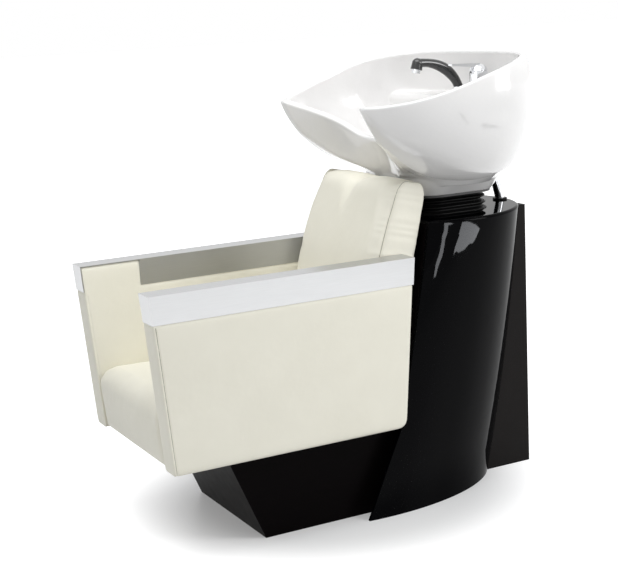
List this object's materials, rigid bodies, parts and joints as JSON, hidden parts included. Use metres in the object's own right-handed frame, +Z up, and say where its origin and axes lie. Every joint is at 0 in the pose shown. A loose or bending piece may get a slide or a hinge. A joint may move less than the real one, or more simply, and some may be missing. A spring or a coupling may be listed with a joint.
{
  "type": "hair washing bed",
  "caption": "Salon backwash unit: armchair with metal-capped sides joined to a pedestal that carries a tilting ceramic wash bowl with mixer tap and hand spray.",
  "frame": {"origin": "on the floor, on the middle plane, at the floor plate under the chair's rear", "axes": "+X to the left arm's right side of the client seen from the front, +Y from the client's feet to the basin, +Z up"},
  "size_m": [0.754, 1.2034, 1.1758],
  "materials": {
    "ivory_leather": "soft matt grain",
    "bowl_ceramic": "warm white glaze",
    "shell_gloss_black": "high gloss black",
    "base_black": "satin black laminate",
    "box_black": "matt black laminate",
    "frame_black": "black powder coat",
    "cap_aluminium": "satin silver",
    "plywood": "raw plywood",
    "screw_steel": "zinc plated",
    "bush_plastic": "natural plastic",
    "bellows_rubber": "matt black",
    "chrome": "polished",
    "brass": "plain",
    "tail_steel": "braided steel",
    "spray_black": "gloss black",
    "spray_grey": "grey spray face",
    "tail_white": "white plastic"
  },
  "bodies": {
    "stand": {"support_frame": "frame_black", "seat_frame": "frame_black", "seat_base": "base_black", "pedestal_shell": "shell_gloss_black", "pedestal_front_panel": "base_black", "rear_box": "box_black", "rear_access_panel": "box_black", "access_panel_screws": "screw_steel", "hinge_pins": "screw_steel", "left_arm_core": "plywood", "right_arm_core": "plywood", "left_arm_cover": "ivory_leather", "right_arm_cover": "ivory_leather", "left_arm_cap": "cap_aluminium", "right_arm_cap": "cap_aluminium", "arm_bolts": "screw_steel", "seat_board": "plywood", "seat_cushion": "ivory_leather", "backrest_board": "plywood", "backrest_cushion": "ivory_leather", "backrest_bars": "frame_black", "backrest_screws": "screw_steel", "bellows": "bellows_rubber", "hose_grommet": "bellows_rubber"},
    "wash_bowl": {"bowl": "bowl_ceramic", "bowl_bracket": "frame_black", "bowl_bolts": "screw_steel", "hinge_bushes": "bush_plastic", "hose_guide": "chrome", "mixer_body": "chrome", "mixer_nut": "brass", "mixer_inlet_tails": "tail_steel", "spray_cup": "chrome", "spray_cup_nut": "brass", "drain_flange": "chrome", "drain_nut": "tail_white", "waste_tail": "tail_white"},
    "mixer_core": {"mixer_cartridge": "bush_plastic"},
    "mixer_handle": {"mixer_lever": "chrome"},
    "spray_line": {"spray_hose": "tail_steel"},
    "hand_spray": {"spray_stem": "chrome", "spray_handle": "spray_black", "spray_face": "spray_grey"},
    "strainer": {"drain_strainer": "chrome"}
  },
  "joints": [
    {"name": "bowl_tilt", "type": "hinge", "parent": "stand", "child": "wash_bowl", "pos_m": [0, 0.345, 0.728], "axis": [1, 0, 0], "range_deg": [-10, 2], "deforming": ["bellows"]},
    {"name": "mixer_turn", "type": "hinge", "parent": "wash_bowl", "child": "mixer_core", "pos_m": [0.058, 0.464, 1.116], "axis": [0, 0, 1], "range_deg": [-40, 40]},
    {"name": "mixer_lift", "type": "hinge", "parent": "mixer_core", "child": "mixer_handle", "pos_m": [0.058, 0.464, 1.116], "axis": [-1, 0, 0], "range_deg": [0, 22]},
    {"name": "spray_pull", "type": "slide", "parent": "wash_bowl", "child": "spray_line", "axis": [0, 0, 1], "range_m": [0, 0.1]},
    {"name": "spray_turn", "type": "hinge", "parent": "spray_line", "child": "hand_spray", "pos_m": [-0.05, 0.47, 1.073], "axis": [0, 0, 1], "range_deg": [-60, 10]},
    {"name": "strainer_lift", "type": "slide", "parent": "wash_bowl", "child": "strainer", "axis": [0, 0, 1], "range_m": [0, 0.04]}
  ]
}
